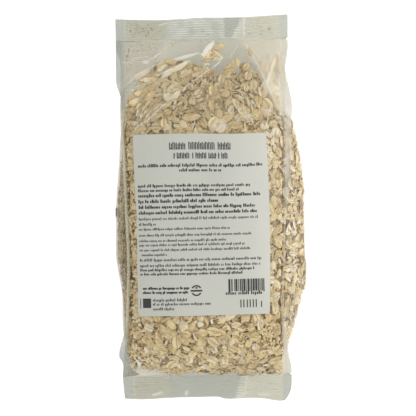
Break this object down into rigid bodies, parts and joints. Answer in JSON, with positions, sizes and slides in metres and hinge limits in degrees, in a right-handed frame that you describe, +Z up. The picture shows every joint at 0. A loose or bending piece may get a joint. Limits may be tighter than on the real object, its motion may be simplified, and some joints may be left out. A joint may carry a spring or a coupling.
{
  "type": "bag of rolled oats",
  "caption": "Clear side-gusset bag filled with large rolled oat flakes, crimped shut at both ends, with a blank-style paper label, lying flat on its back.",
  "frame": {"origin": "middle of the bag's outline at the height of the flat back that it lies on", "axes": "+Y along the bag towards the top seal, +X to the right of someone facing the label, +Z up out of the label"},
  "size_m": [0.146, 0.295, 0.0518],
  "materials": {
    "oats_in_film": "satin",
    "film": "gloss",
    "oats": "matte",
    "label_paper": "satin",
    "print": "satin"
  },
  "bodies": {
    "root": {"bag": "oats_in_film", "label": "label_paper"}
  },
  "joints": []
}
